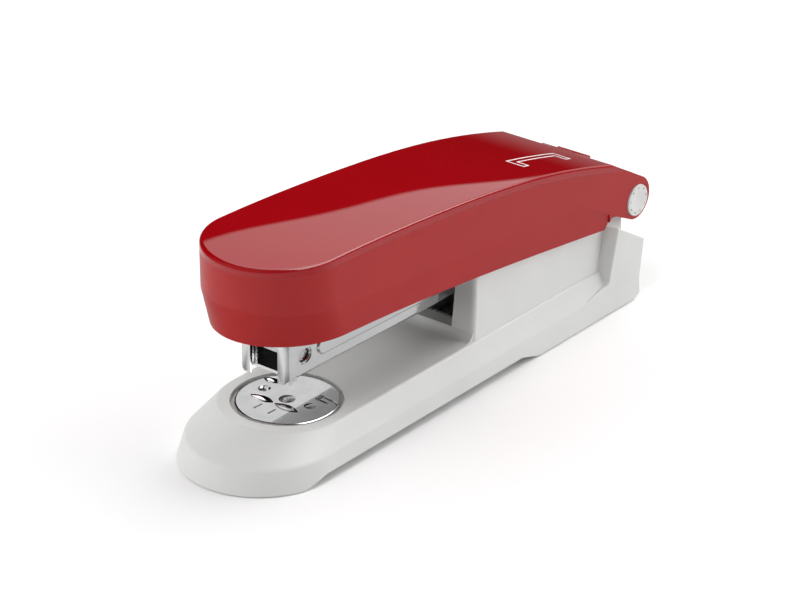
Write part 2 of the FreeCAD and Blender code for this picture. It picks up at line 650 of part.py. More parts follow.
def core_pins():
    """Cross rivets through the channel and the core."""
    pins = []
    for x in CORE_PIN_X:
        shank = cylinder_y(CORE_PIN_RADIUS, (-MAG_HALF_WIDTH, MAG_HALF_WIDTH), x, CORE_PIN_Z)
        heads = both_sides(cylinder_y(2.0, (MAG_HALF_WIDTH, MAG_HALF_WIDTH + 0.3), x, CORE_PIN_Z))
        pins.append(in_magazine(fused([shank] + heads)))
    return Part.makeCompound(pins)


def staple_strip():
    """Fifty glued staples as one strip, straddling the core."""
    leg_in = CORE_HALF_WIDTH + 0.2
    leg_out = leg_in + LEG_WIDTH
    top = CORE_TOP + 0.05 + WIRE
    x = (SLOT_X[1] + 0.15, SLOT_X[1] + 0.15 + STRIP_LENGTH)
    strip = box(x, (-leg_out, leg_out), (1.1, top))
    return in_magazine(strip.cut(box((-20, 60), (-leg_in, leg_in), (0, CORE_TOP + 0.05))))


def follower_front_x():
    return SLOT_X[1] + 0.15 + STRIP_LENGTH + 0.3


def follower():
    """Pusher: a saddle over the core, with a shoe inside it on the guide rod."""
    x1 = follower_front_x()
    x2 = x1 + FOLLOWER_LENGTH
    half = CORE_HALF_WIDTH + 0.8
    saddle = box((x1, x2), (-half, half), (1.1, 9.2))
    tops = [e for e in saddle.Edges if e.BoundBox.ZMin > 9.1]
    saddle = saddle.makeFillet(0.6, tops)
    saddle = saddle.cut(box((0, 60), (-CORE_HALF_WIDTH - 0.2, CORE_HALF_WIDTH + 0.2), (0, CORE_TOP + 0.2)))
    web = box((x1, x2), (-0.8, 0.8), (5.0, 7.4))
    shoe = box((x1, x2), (-3.6, 3.6), (1.2, 5.9))
    grip = box((x1 + 8.0, x1 + 9.6), (-4.0, 4.0), (9.0, 10.6))
    piece = fused([saddle, web, shoe, grip])
    return in_magazine(piece.cut(cylinder_x(ROD_RADIUS + RUNNING_GAP, (0, 60), 0, ROD_Z)))


def guide_rod():
    """Rod along the inside of the core, on which the follower and its spring slide."""
    return in_magazine(cylinder_x(ROD_RADIUS, (-4.6, STOP_X + 3.4), 0, ROD_Z))


def rod_front_block():
    """Plastic block in the mouth of the core that holds the rod's front end."""
    half = CORE_HALF_WIDTH - 0.75
    block = box((SLOT_X[1] + 0.8, 1.0), (-half, half), (STEEL + 0.05, CORE_TOP - 0.75))
    return in_magazine(block.cut(cylinder_x(ROD_RADIUS, (-4.6, 3), 0, ROD_Z)))


def rod_end_stop():
    """Plastic block that holds the rod's rear end and the spring."""
    half = CORE_HALF_WIDTH - 0.75
    block = box((STOP_X, STOP_X + 3.4), (-half, half), (STEEL + 0.05, CORE_TOP - 0.75))
    return in_magazine(block.cut(cylinder_x(ROD_RADIUS, (90, 110), 0, ROD_Z)))


def follower_spring():
    """Long coil on the rod that pushes the follower against the staples."""
    start = follower_front_x() + FOLLOWER_LENGTH + 0.1
    spring = coil(1.95, 0.25, STOP_X - 0.1 - start, 24.0)
    spring.rotate(V(0, 0, 0), V(0, 1, 0), 90)
    spring.translate(V(start, 0, ROD_Z))
    return in_magazine(spring)


def magazine_bushes():
    """Flanged bushes in the channel's ears, turning on the hinge pin."""
    body = cylinder_y(3.0, (5.6, MAG_HALF_WIDTH + 0.2), HINGE_X, HINGE_Z)
    flange = cylinder_y(3.9, (5.6, MAG_HALF_WIDTH - STEEL), HINGE_X, HINGE_Z)
    bush = body.fuse(flange).cut(cylinder_y(PIN_RADIUS + RUNNING_GAP, (0, 10), HINGE_X, HINGE_Z))
    return Part.makeCompound(both_sides(bush))


# ---------------------------------------------------------------- cover
def boss_tangent():
    """Where the straight rear slope meets the boss circle: its (x, z) and its angle in degrees."""
    dx = SLOPE_TOP[0] - BOSS_CENTRE[0]
    dz = SLOPE_TOP[1] - BOSS_CENTRE[1]
    angle = math.atan2(dz, dx) - math.acos(BOSS_RADIUS / math.hypot(dx, dz))
    point = on_boss(math.degrees(angle))
    return (point.x, point.z), math.degrees(angle)


def on_boss(degrees):
    """A point on the boss circle."""
    angle = math.radians(degrees)
    return V(BOSS_CENTRE[0] + BOSS_RADIUS * math.cos(angle), 0, BOSS_CENTRE[1] + BOSS_RADIUS * math.sin(angle))


def cover_side_face():
    """The cover's outline from the side: top line, rear slope, boss, rear corner and bottom line."""
    top = smooth_line(COVER_TOP_LINE)
    bottom = smooth_line(COVER_BOTTOM_LINE)
    top_front, low_front, low_rear = [
        V(x, 0, z) for x, z in (COVER_TOP_LINE[0], COVER_BOTTOM_LINE[0], COVER_BOTTOM_LINE[-1])
    ]
    outer_corner, inner_corner = [V(x, 0, z) for x, z in COVER_REAR_CORNER]
    (tx, tz), tangent_angle = boss_tangent()
    tangent = V(tx, 0, tz)
    boss_end = on_boss(BOSS_END)
    boss_middle = on_boss((tangent_angle + BOSS_END - 360) / 2)
    slope_start = top.parameter(V(SLOPE_TOP[0], 0, SLOPE_TOP[1]))
    edges = [
        top.toShape(top.FirstParameter, slope_start),
        Part.makeLine(top.value(slope_start), tangent),
        Part.Arc(tangent, boss_middle, boss_end).toShape(),
        Part.makeLine(boss_end, outer_corner),
        Part.makeLine(outer_corner, inner_corner),
        Part.makeLine(inner_corner, low_rear),
        bottom.toShape(),
        Part.makeLine(low_front, top_front),
    ]
    return Part.Face(Part.Wire(Part.__sortEdges__(edges)))


def cover_bands():
    """Upper band, lower band that leans in below the crease, and the part behind the crease's bend."""
    (x0, z0), (x1, z1), (x2, z2) = CREASE_LINE
    tilt = math.atan2(z0 - z1, x1 - x0)
    stretch = 1 / math.cos(tilt)
    drop = 13.0
    further = drop / HEM_DROP
    rear_x = BASE_REAR_X + 13
    crease = nose_wire(COVER_NOSE_X * stretch, COVER_HALF_WIDTH, rear_x, 0.0, COVER_HALF_WIDTH * stretch)
    low = nose_wire(
        COVER_NOSE_X + (HEM_NOSE_X - COVER_NOSE_X) * further,
        COVER_HALF_WIDTH + (HEM_HALF_WIDTH - COVER_HALF_WIDTH) * further,
        rear_x,
        -drop,
        COVER_HALF_WIDTH + (HEM_NOSE_DEPTH - COVER_HALF_WIDTH) * further,
    )
    lower = Part.makeLoft([low, crease], True, True)
    upper = box((-60, 140), (-BEYOND, BEYOND), (0, 40))
    for shape in (lower, upper):
        shape.rotate(V(0, 0, 0), V(0, 1, 0), math.degrees(tilt))
        shape.translate(V(0, 0, z0 + x0 * math.tan(tilt)))
    outline = [(x1, z1), (x2, z2), (x2, 10), (150, 10), (150, 60), (x1, 60)]
    return fused([lower, upper, polygon_y(outline, -BEYOND, BEYOND)])


def cover_outer():
    """The whole outside of the cover, lid included."""
    face = cover_side_face()
    face.translate(V(0, -BEYOND, 0))
    side = face.extrude(V(0, 2 * BEYOND, 0))
    plan = nose_prism(COVER_NOSE_X, COVER_HALF_WIDTH, BASE_REAR_X + 13, (0, HIGH))
    return plan.common(side).common(cover_bands())


def lid_region():
    """Everything above the lid's underside, in front of the rear slope."""
    above = region_under(COVER_TOP_LINE, -5.0, 0.0, BEYOND)
    return above.cut(region_under(COVER_TOP_LINE, PANEL_THICKNESS, 0.0, BEYOND + 1))


def tongue():
    """The lid's tongue: a thin pad on the rear slope that ends in a raised grip bar."""
    (tx, tz), _ = boss_tangent()
    origin = V(SLOPE_TOP[0], 0, SLOPE_TOP[1])
    along = V(tx, 0, tz) - origin
    along.normalize()
    out = V(-along.z, 0, along.x)
    begin, grip, finish = TONGUE_REACH
    profile = (
        (begin, -0.3), (begin, 0.1), (grip, TONGUE_THICKNESS), (grip + 0.3, GRIP_HEIGHT), (finish, GRIP_HEIGHT),
        (finish, 0.02), (begin + 4.0, 0.02), (begin + 4.0, -0.3),
    )
    corners = [origin + along * reach + out * height for reach, height in profile]
    return polygon_y([(p.x, p.z) for p in corners], -TONGUE_HALF_WIDTH, TONGUE_HALF_WIDTH)


def cover_top_panel():
    """Gloss lid with a rounded top edge and a tongue over the rear slope."""
    lid = cover_outer().common(lid_region())
    long_edges = [e for e in lid.Edges if e.BoundBox.XLength > 5 and e.BoundBox.ZMax > 50]
    rim = [e for e in long_edges if abs(e.CenterOfMass.z - top_z(e.CenterOfMass.x)) < 1.2]
    return fused([lid.makeFillet(LID_EDGE_RADIUS, rim), tongue()])


def top_z(x):
    """Height of the cover's top line at x."""
    curve = smooth_line(COVER_TOP_LINE)
    cut = Part.makeLine(V(x, 0, 0), V(x, 0, 100))
    return curve.toShape().distToShape(cut)[1][0][0].z


def cover_room():
    """The hollow of the cover, which ends at the wall under the rear slope."""
    ceiling = region_under(COVER_TOP_LINE, PANEL_THICKNESS + CEILING_THICKNESS, -10.0, BEYOND)
    room = nose_prism(COVER_INNER_NOSE_X, COVER_INNER_HALF_WIDTH, BASE_REAR_X + 13, (-5, HIGH)).common(ceiling)
    (tx, tz), _ = boss_tangent()
    x, z = SLOPE_TOP[0] - 8, SLOPE_TOP[1]
    outline = [(x, z + 8), (tx + 8, tz + 8), (tx + 8, tz - 1.8), (tx - 1, tz - 1.3), (x, z + 2.6)]
    slope_wall = polygon_y(outline, -BEYOND, BEYOND)
    slope_wall = slope_wall.cut(box((122.6, 150), (-BEYOND, BEYOND), (0, HIGH)))
    return room.cut(slope_wall)


def cover_shell():
    """Satin sides, inner ceiling, rear slope and the two hinge bosses."""
    body = cover_outer().cut(lid_region()).cut(cover_room())
    under_lid = region_under(COVER_TOP_LINE, PANEL_THICKNESS + 0.9, -10.0, BEYOND)
    posts = [cylinder_z(POST_RADIUS, (arm_top_z(x) + 0.25, 60.0), x).common(under_lid) for x in COVER_SCREW_X]
    body = fused([body] + posts)
    for x in COVER_SCREW_X:
        body = body.cut(cylinder_z(1.1, (30, arm_top_z(x) + 5.0), x))
    for seat in both_sides(cylinder_y(CAP_RADIUS + 0.12, (CAP_SEAT_Y, 25.0), HINGE_X, HINGE_Z)):
        body = body.cut(seat)
    return body.cut(cylinder_y(3.2, (-BEYOND, BEYOND), HINGE_X, HINGE_Z))


def hinge_cap(side):
    """Round button in the cover's boss, dished, with a ring of dots and a bore for the end of the pin."""
    head = cylinder_y(CAP_RADIUS, (CAP_SEAT_Y + 0.05, CAP_FACE_Y), HINGE_X, HINGE_Z)
    rim = [e for e in head.Edges if e.Closed and e.CenterOfMass.y > CAP_FACE_Y - 0.05]
    head = head.makeFillet(0.3, rim)
    dish = Part.makeSphere(CAP_DISH_RADIUS, V(HINGE_X, CAP_FACE_Y + CAP_DISH_RADIUS - 0.2, HINGE_Z))
    stem = cylinder_y(3.15, (17.3, 18.2), HINGE_X, HINGE_Z)
    cap = head.cut(dish).fuse(stem).cut(cylinder_y(PIN_RADIUS + RUNNING_GAP, (17, 18.3), HINGE_X, HINGE_Z))
    for n in range(CAP_DOTS):
        angle = math.radians(360 / CAP_DOTS * n + 10)
        x = HINGE_X + CAP_DOT_CIRCLE * math.cos(angle)
        z = HINGE_Z + CAP_DOT_CIRCLE * math.sin(angle)
        cap = cap.cut(cylinder_y(CAP_DOT_RADIUS, (19.0, 20), x, z))
    return cap if side > 0 else mirrored(cap)


# ---------------------------------------------------------------- driver
def arm_top_z(x):
    """Top face of the driver arm at x."""
    slope = (ARM_REAR[1] - ARM_FRONT_Z) / (ARM_REAR[0] - BLADE_X[1])
    return ARM_FRONT_Z + slope * (x - BLADE_X[1])


def driver_arm():
    """Folded steel arm inside the cover: top plate, side flanges, front tab and hinge ears."""
    x1, x2 = BLADE_X[1], ARM_REAR[0]
    z1, z2 = arm_top_z(x1), arm_top_z(x2)
    plate = polygon_y([(x1, z1), (x2, z2), (x2, z2 - ARM_STEEL), (x1, z1 - ARM_STEEL)],
                      -ARM_HALF_WIDTH, ARM_HALF_WIDTH)
    flange_y = (ARM_HALF_WIDTH - FLANGE_STEEL, ARM_HALF_WIDTH)
    flange_x = 8.0
    flange_z = arm_top_z(flange_x)
    flange = polygon_y([(flange_x, flange_z), (x2, z2), (x2, 33.5), (90, 35.4), (flange_x, flange_z - 4.5)],
                       *flange_y)
    ear = arm_to((108.0, 34.2), (HINGE_X, HINGE_Z), 4.2, flange_y)
    tab = box((x1, x1 + ARM_STEEL), (-BLADE_HALF_WIDTH, BLADE_HALF_WIDTH), (39.4, ARM_FRONT_Z - 0.2))
    arm = fused([plate, tab] + both_sides(flange) + both_sides(ear))
    arm = arm.cut(cylinder_y(PIN_RADIUS + RUNNING_GAP, (-BEYOND, BEYOND), HINGE_X, HINGE_Z))
    for x in COVER_SCREW_X:
        arm = arm.cut(cylinder_z(1.5, (30, 50), x))
    for y in RIVET_Y:
        arm = arm.cut(cylinder_x(RIVET_RADIUS, (-10, 0), y, RIVET_Z))
    return arm


def driver_blade():
    """Hardened blade that drives the front staple."""
    blade = box(BLADE_X, (-BLADE_HALF_WIDTH, BLADE_HALF_WIDTH), BLADE_Z)
    for y in RIVET_Y:
        blade = blade.cut(cylinder_x(RIVET_RADIUS, (-10, 0), y, RIVET_Z))
    return blade


def driver_rivets():
    """Two rivets that hold the blade on the arm's front tab."""
    x1, x2 = BLADE_X[0], BLADE_X[1] + ARM_STEEL
    rivets = []
    for y in RIVET_Y:
        shank = cylinder_x(RIVET_RADIUS, (x1, x2), y, RIVET_Z)
        front = cylinder_x(RIVET_HEAD_RADIUS, (x1 - 0.5, x1), y, RIVET_Z)
        back = cylinder_x(RIVET_HEAD_RADIUS, (x2, x2 + 0.6), y, RIVET_Z)
        rivets.append(fused([shank, front, back]))
    return Part.makeCompound(rivets)


def cover_screws():
    """Two screws that hold the driver arm on the cover's posts."""
    screws = []
    for x in COVER_SCREW_X:
        under = arm_top_z(x) - ARM_STEEL
        head = cylinder_z(2.6, (under - 1.6, under - 0.2), x)
        shank = cylinder_z(1.05, (under - 0.3, under + 5.0), x)
        slot = box((x - 3, x + 3), (-0.3, 0.3), (under - 2, under - 0.9))
        screws.append(head.fuse(shank).cut(slot))
    return Part.makeCompound(screws)


def cover_return_spring():
    """Leaf spring fixed under the arm, bent down onto the core's top."""
    fixed_x, bend_x, free_x = LEAF_X
    fixed, bend = [V(x, 0, arm_top_z(x) - ARM_STEEL - 0.05) for x in (fixed_x, bend_x)]
    free = V(free_x, 0, MAG_Z0 + 9.0)
    middle = V(80.0, 0, (bend.z + free.z) / 2 - 1.4)
    down = V(0, 0, -LEAF_THICKNESS)
    outline = Part.Wire(Part.__sortEdges__([
        Part.makeLine(fixed, bend),
        Part.Arc(bend, middle, free).toShape(),
        Part.makeLine(free, free + down),
        Part.Arc(bend + down, middle + down, free + down).toShape(),
        Part.makeLine(bend + down, fixed + down),
        Part.makeLine(fixed + down, fixed),
    ]))
    outline.translate(V(0, -LEAF_HALF_WIDTH, 0))
    leaf = Part.Face(outline).extrude(V(0, 2 * LEAF_HALF_WIDTH, 0))
    rivet_x = (fixed_x + bend_x) / 2
    under = arm_top_z(rivet_x) - ARM_STEEL
    return leaf.fuse(cylinder_z(1.4, (under - 1.1, under - 0.35), rivet_x))


# ---------------------------------------------------------------- output
NODES = {
    "base_shell": base_shell,
    "tower_shell": tower_shell,
    "base_frame": base_frame,
    "base_screws": base_screws,
    "front_foot_pad": front_foot_pad,
    "rear_foot_pad": rear_foot_pad,
    "hinge_pin": hinge_pin,
    "hinge_sleeve": hinge_sleeve,
    "magazine_lift_spring": magazine_lift_spring,
    "anvil_button": anvil_button,
    "anvil_spring": anvil_spring,
    "anvil_disc": anvil_disc,
    "anvil_rivet": anvil_rivet,
    "anvil_washer": anvil_washer,
    "magazine_channel": magazine_channel,
    "magazine_nose": magazine_nose,
    "magazine_bushes": magazine_bushes,
    "staple_core": staple_core,
    "core_pins": core_pins,
    "staple_strip": staple_strip,
    "follower": follower,
    "follower_spring": follower_spring,
    "guide_rod": guide_rod,
    "rod_front_block": rod_front_block,
    "rod_end_stop": rod_end_stop,
    "cover_shell": cover_shell,
    "cover_top_panel": cover_top_panel,
    "driver_arm": driver_arm,
    "driver_blade": driver_blade,
    "driver_rivets": driver_rivets,
    "cover_screws": cover_screws,
    "cover_return_spring": cover_return_spring,
    "hinge_cap_left": lambda: hinge_cap(1),
    "hinge_cap_right": lambda: hinge_cap(-1),
}


def main():
    os.makedirs("parts", exist_ok=True)
    for name, make in NODES.items():
        shape = make()
        shape.translate(V(-CENTRE_X, 0, 0))
        shape.exportStep("parts/" + name + ".step")
        print(f"{name}: {len(shape.Solids)} solid, valid {shape.isValid()}, volume {shape.Volume:.1f}")


main()
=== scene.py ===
"""The looks of a desk stapler: red cover, light grey base, plated steel magazine and a round mirror anvil.

Metres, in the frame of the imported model: +X from the nose to the hinge, +Z up, origin under the middle.
"""
import math

import bmesh
import bpy
import numpy as np
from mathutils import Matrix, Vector


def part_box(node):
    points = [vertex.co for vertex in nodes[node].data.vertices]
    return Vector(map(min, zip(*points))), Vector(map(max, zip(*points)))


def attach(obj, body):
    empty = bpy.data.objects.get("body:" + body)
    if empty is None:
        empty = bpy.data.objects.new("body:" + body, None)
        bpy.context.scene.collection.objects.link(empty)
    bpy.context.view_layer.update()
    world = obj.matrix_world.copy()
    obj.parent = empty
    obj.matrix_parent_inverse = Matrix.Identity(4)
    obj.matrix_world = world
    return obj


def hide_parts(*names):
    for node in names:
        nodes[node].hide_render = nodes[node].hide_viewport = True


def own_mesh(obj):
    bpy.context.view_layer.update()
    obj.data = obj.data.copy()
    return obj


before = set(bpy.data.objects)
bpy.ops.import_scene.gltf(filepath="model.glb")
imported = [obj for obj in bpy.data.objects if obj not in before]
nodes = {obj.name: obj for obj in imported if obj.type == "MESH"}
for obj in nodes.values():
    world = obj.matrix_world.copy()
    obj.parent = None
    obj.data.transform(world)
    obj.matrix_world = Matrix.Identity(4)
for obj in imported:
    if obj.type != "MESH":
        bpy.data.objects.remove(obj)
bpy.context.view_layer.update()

MM = 0.001


# ---------------------------------------------------------------- node helpers
class Nodes:
    """A short way to write a material's node tree."""

    def __init__(self, name):
        self.material = bpy.data.materials.new(name)
        self.material.use_nodes = True
        self.tree = self.material.node_tree
        self.tree.nodes.clear()
        self.shader = self.add("ShaderNodeBsdfPrincipled")
        output = self.add("ShaderNodeOutputMaterial")
        self.link(self.shader.outputs["BSDF"], output.inputs["Surface"])
        self.place = self.add("ShaderNodeTexCoord").outputs["Object"]

    def add(self, kind, **settings):
        node = self.tree.nodes.new(kind)
        for key, value in settings.items():
            setattr(node, key, value)
        return node

    def link(self, output, socket):
        self.tree.links.new(output, socket)

    def set(self, **values):
        """Sets sockets of the shader: base_color=..., coat_weight=... and so on."""
        for key, value in values.items():
            words = {"specular": "Specular IOR Level"}.get(key, key.replace("_", " ").title())
            self.shader.inputs[words].default_value = value

    def scaled_place(self, scale):
        """Object coordinates times scale, (x, y, z)."""
        mapping = self.add("ShaderNodeMapping")
        mapping.inputs["Scale"].default_value = scale
        self.link(self.place, mapping.inputs["Vector"])
        return mapping.outputs["Vector"]

    def noise(self, scale, stretch=(1, 1, 1), detail=3.0, rough=0.5):
        texture = self.add("ShaderNodeTexNoise")
        texture.inputs["Scale"].default_value = scale
        texture.inputs["Detail"].default_value = detail
        texture.inputs["Roughness"].default_value = rough
        self.link(self.scaled_place(stretch), texture.inputs["Vector"])
        return texture.outputs["Fac"]

    def ramp(self, value, stops):
        """A colour ramp: stops are (position, colour) with a grey number or an (r, g, b)."""
        node = self.add("ShaderNodeValToRGB")
        elements = node.color_ramp.elements
        while len(elements) < len(stops):
            elements.new(0.5)
        for element, (position, colour) in zip(elements, stops):
            element.position = position
            if isinstance(colour, (int, float)):
                colour = (colour, colour, colour)
            element.color = (*colour, 1.0)
        self.link(value, node.inputs["Fac"])
        return node.outputs["Color"]

    def colour(self, value, low, high):
        """Base colour between two near tones, driven by a texture."""
        self.link(self.ramp(value, [(0.3, low), (0.7, high)]), self.shader.inputs["Base Color"])

    def roughness(self, value, low, high):
        spread = self.add("ShaderNodeMapRange")
        spread.inputs["From Min"].default_value = 0.3
        spread.inputs["From Max"].default_value = 0.7
        spread.inputs["To Min"].default_value = low
        spread.inputs["To Max"].default_value = high
        self.link(value, spread.inputs["Value"])
        self.link(spread.outputs["Result"], self.shader.inputs["Roughness"])

    def bump(self, value, height, strength=1.0):
        """A bump of the given height in metres."""
        node = self.add("ShaderNodeBump")
        node.inputs["Distance"].default_value = height
        node.inputs["Strength"].default_value = strength
        self.link(value, node.inputs["Height"])
        self.link(node.outputs["Normal"], self.shader.inputs["Normal"])


def moulded_plastic(name, colour, rough, specular=0.45, grain=0.000004, variation=0.03):
    """Satin moulded plastic: a fine spark-eroded grain and a faint drift of colour."""
    m = Nodes(name)
    dark = tuple(c * (1 - variation) for c in colour)
    light = tuple(min(1.0, c * (1 + variation)) for c in colour)
    m.colour(m.noise(55.0, detail=4.0), dark, light)
    m.roughness(m.noise(140.0, detail=2.0), rough - 0.03, rough + 0.03)
    m.bump(m.noise(5200.0, detail=2.0), grain)
    m.set(specular=specular)
    return m.material


def gloss_red():
    """Clear-coated red with a barely uneven depth of colour and faint polishing marks in the gloss."""
    m = Nodes("gloss_red")
    m.colour(m.noise(40.0, detail=3.0), (0.330, 0.0012, 0.0040), (0.350, 0.0018, 0.0055))
    m.roughness(m.noise(900.0, (1, 5, 1), detail=2.0), 0.004, 0.008)
    m.set(specular=0.5, coat_weight=0.3, coat_roughness=0.008)
    return m.material


def plated_steel(name, colour, rough, streak=(0.12, 1, 1)):
    """Nickel-plated sheet: rolling streaks along the length and small stains in the shine."""
    m = Nodes(name)
    m.colour(m.noise(260.0, streak, detail=5.0), tuple(c * 0.93 for c in colour), colour)
    m.roughness(m.noise(900.0, streak, detail=4.0), rough * 0.7, rough * 1.4)
    m.bump(m.noise(1900.0, streak, detail=3.0), 0.000003)
    m.set(metallic=1.0)
    return m.material


def mirror_steel():
    """Polished plate of the anvil, with hair-thin turning marks."""
    m = Nodes("mirror_steel")
    m.colour(m.noise(220.0, detail=4.0), (0.70, 0.70, 0.71), (0.78, 0.78, 0.79))
    m.roughness(m.noise(1500.0, detail=3.0), 0.03, 0.06)
    m.bump(m.noise(2600.0, detail=2.0), 0.0000008)
    m.set(metallic=1.0)
    return m.material


def dark_plastic():
    m = Nodes("dark_plastic")
    m.colour(m.noise(90.0), (0.004, 0.004, 0.0045), (0.008, 0.008, 0.0085))
    m.roughness(m.noise(300.0), 0.38, 0.46)
    m.bump(m.noise(4200.0), 0.000003)
    m.set(specular=0.05)
    return m.material


def foot_rubber():
    m = Nodes("foot_rubber")
    m.colour(m.noise(120.0), (0.055, 0.055, 0.056), (0.075, 0.075, 0.076))
    m.roughness(m.noise(400.0), 0.72, 0.82)
    m.bump(m.noise(2500.0, detail=5.0), 0.00002)
    return m.material


def wire_steel(name, colour, rough):
    """Drawn wire: fine marks along its length."""
    m = Nodes(name)
    m.colour(m.noise(600.0), tuple(c * 0.85 for c in colour), colour)
    m.roughness(m.noise(1400.0), rough * 0.8, rough * 1.3)
    m.bump(m.noise(6000.0), 0.000002)
    m.set(metallic=1.0)
    return m.material


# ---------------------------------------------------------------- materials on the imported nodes
def dress(names, material):
    """Puts one material on each named node."""
    for name in names:
        mesh = nodes[name].data
        mesh.materials.clear()
        mesh.materials.append(material)


GREY = (0.700, 0.705, 0.690)
dress(["base_shell", "tower_shell"], moulded_plastic("grey_plastic", GREY, 0.42))
dress(["hinge_cap_left", "hinge_cap_right"], moulded_plastic("cap_plastic", (0.70, 0.70, 0.69), 0.40))
dress(["anvil_button"], moulded_plastic("button_plastic", (0.40, 0.40, 0.39), 0.45))
dress(["cover_shell"], moulded_plastic("satin_red", (0.385, 0.012, 0.012), 0.32, specular=0.38))
dress(["magazine_channel", "magazine_nose", "core_pins"], plated_steel("nickel_plate", (0.74, 0.74, 0.745), 0.11))
dress(["staple_core", "driver_arm", "base_frame", "driver_rivets", "cover_screws", "base_screws", "anvil_rivet",
       "anvil_washer"], plated_steel("zinc_plate", (0.66, 0.67, 0.68), 0.26))
dress(["driver_blade", "hinge_pin", "guide_rod"], wire_steel("hard_steel", (0.42, 0.42, 0.43), 0.25))
dress(["magazine_lift_spring", "anvil_spring", "follower_spring", "cover_return_spring"],
      wire_steel("spring_wire", (0.50, 0.50, 0.50), 0.28))
dress(["staple_strip"], wire_steel("staple_wire", (0.72, 0.72, 0.73), 0.22))
dress(["follower", "magazine_bushes", "rod_front_block", "rod_end_stop", "hinge_sleeve"], dark_plastic())
dress(["front_foot_pad", "rear_foot_pad"], foot_rubber())


# ---------------------------------------------------------------- new pieces
LID_THICKNESS = 2.2 * MM
SLOPE_START = (63.375 * MM, 43.0 * MM)      # (x, z) where the lid's top meets the rear slope
SLOPE_END = (78.135 * MM, 34.54 * MM)       # (x, z) where the slope meets the boss
NOSE_EDGE = 1.1 * MM                        # rounding of the lid's edge at the nose and along the sides
SIDE_EDGE = 0.7 * MM
REAR_EDGE = 4.0 * MM
GRIP_HALF_WIDTH = 5.4 * MM
GRIP_PROFILE = ((0.3, 0.0), (0.8, 0.22), (8.2, 0.25), (8.5, 0.35), (8.75, 0.8), (8.9, 0.9), (9.45, 0.9), (9.6, 0.75),
                (9.65, 0.0))                # mm down the slope and above it


def new_piece(name, points, faces, material, body, normals=None):
    """A smooth-shaded mesh that rides on a body."""
    mesh = bpy.data.meshes.new(name)
    mesh.from_pydata([tuple(p) for p in points], [], faces)
    mesh.polygons.foreach_set("use_smooth", [True] * len(mesh.polygons))
    if normals is not None:
        mesh.normals_split_custom_set_from_vertices([tuple(n) for n in normals])
    mesh.materials.append(material)
    piece = bpy.data.objects.new(name, mesh)
    bpy.context.scene.collection.objects.link(piece)
    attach(piece, body)
    return piece


def crown_line():
    """Height of the lid's top over x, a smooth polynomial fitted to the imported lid's underside."""
    mesh = nodes["cover_top_panel"].data
    corners = sorted({i for face in mesh.polygons if face.normal.z < -0.9 for i in face.vertices})
    spots = np.array([mesh.vertices[i].co for i in corners])
    return np.polynomial.Polynomial.fit(spots[:, 0], spots[:, 2] + LID_THICKNESS, 7)


def lid_row(x, z, up, half, edge, thickness, turn=math.pi / 2):
    """One section of the lid: points and normals from the left lower edge over the top to the right one.

    up is the top's normal in XZ.  At the nose turn falls from a right angle to 0 and x is the half circle's
    centre, while z is then the crown's height as a function.
    """
    points, normals = [], []
    outward = Vector((-math.cos(turn), math.sin(turn), 0))
    samples = [(half, thickness, outward)]
    for angle in np.radians(np.linspace(90, 0, 7)):
        reach = half - edge * (1 - math.sin(angle))
        samples.append((reach, edge * (1 - math.cos(angle)), angle))
    for reach, drop, angle in samples:
        at_x = x - reach * math.cos(turn)
        top = Vector(up(at_x))
        normal = outward if angle is outward else outward * math.sin(angle) + top * math.cos(angle)
        points.append(Vector((at_x, reach * math.sin(turn), z(at_x))) - Vector((0, 0, drop)))
        normals.append(normal.normalized())
    flip = Vector((1, -1, 1))
    return points + [p * flip for p in reversed(points)], normals + [n * flip for n in reversed(normals)]


def lid_rows():
    """All sections of the lid from the tip of the nose to the end of its rear slope."""
    low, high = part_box("cover_top_panel")
    half = high.y
    centre = low.x + half
    crown = crown_line()
    fall = crown.deriv()

    def crown_up(x):
        return Vector((-fall(x), 0, 1)).normalized()

    rows = []
    for turn in np.radians(np.linspace(0.05, 90.0, 46)):
        edge = NOSE_EDGE + (SIDE_EDGE - NOSE_EDGE) * math.sin(turn) ** 3
        rows.append(lid_row(centre, crown, crown_up, half, edge, LID_THICKNESS, turn))
    x1 = SLOPE_START[0]
    first, last = math.atan(fall(x1)), math.atan2(SLOPE_END[1] - SLOPE_START[1], SLOPE_END[0] - SLOPE_START[0])
    tangent = REAR_EDGE * math.tan((first - last) / 2)
    for x in np.linspace(centre, x1 - tangent * math.cos(first), 90)[1:]:
        rows.append(lid_row(x, crown, crown_up, half, SIDE_EDGE, LID_THICKNESS))
    start_x, start_z = x1 - tangent * math.cos(first), crown(x1 - tangent * math.cos(first))
    for angle in np.linspace(first, last, 9)[1:]:
        x = start_x + REAR_EDGE * (math.sin(-angle) - math.sin(-first))
        z = start_z - REAR_EDGE * (math.cos(first) - math.cos(angle))
        rows.append(lid_row(x, lambda at, z=z: z, lambda at, a=angle: (-math.sin(a), 0, math.cos(a)),
                            half, SIDE_EDGE, z - crown(x) + LID_THICKNESS))
    while True:
        x += 0.4 * MM
        z += 0.4 * MM * math.tan(last)
        thickness = z - crown(x) + LID_THICKNESS
        if thickness < 0.05 * MM:
            return rows
        rows.append(lid_row(x, lambda at, z=z: z, lambda at: (-math.sin(last), 0, math.cos(last)),
                            half, min(SIDE_EDGE, 0.7 * thickness), thickness))


def grip_row(y):
    """One section of the grip bar and its pad on the slope."""
    along = Vector((SLOPE_END[0] - SLOPE_START[0], 0, SLOPE_END[1] - SLOPE_START[1])).normalized()
    out = Vector((-along.z, 0, along.x))
    start = Vector((SLOPE_START[0], y, SLOPE_START[1]))
    return [start + (along * reach + out * height) * MM for reach, height in GRIP_PROFILE]


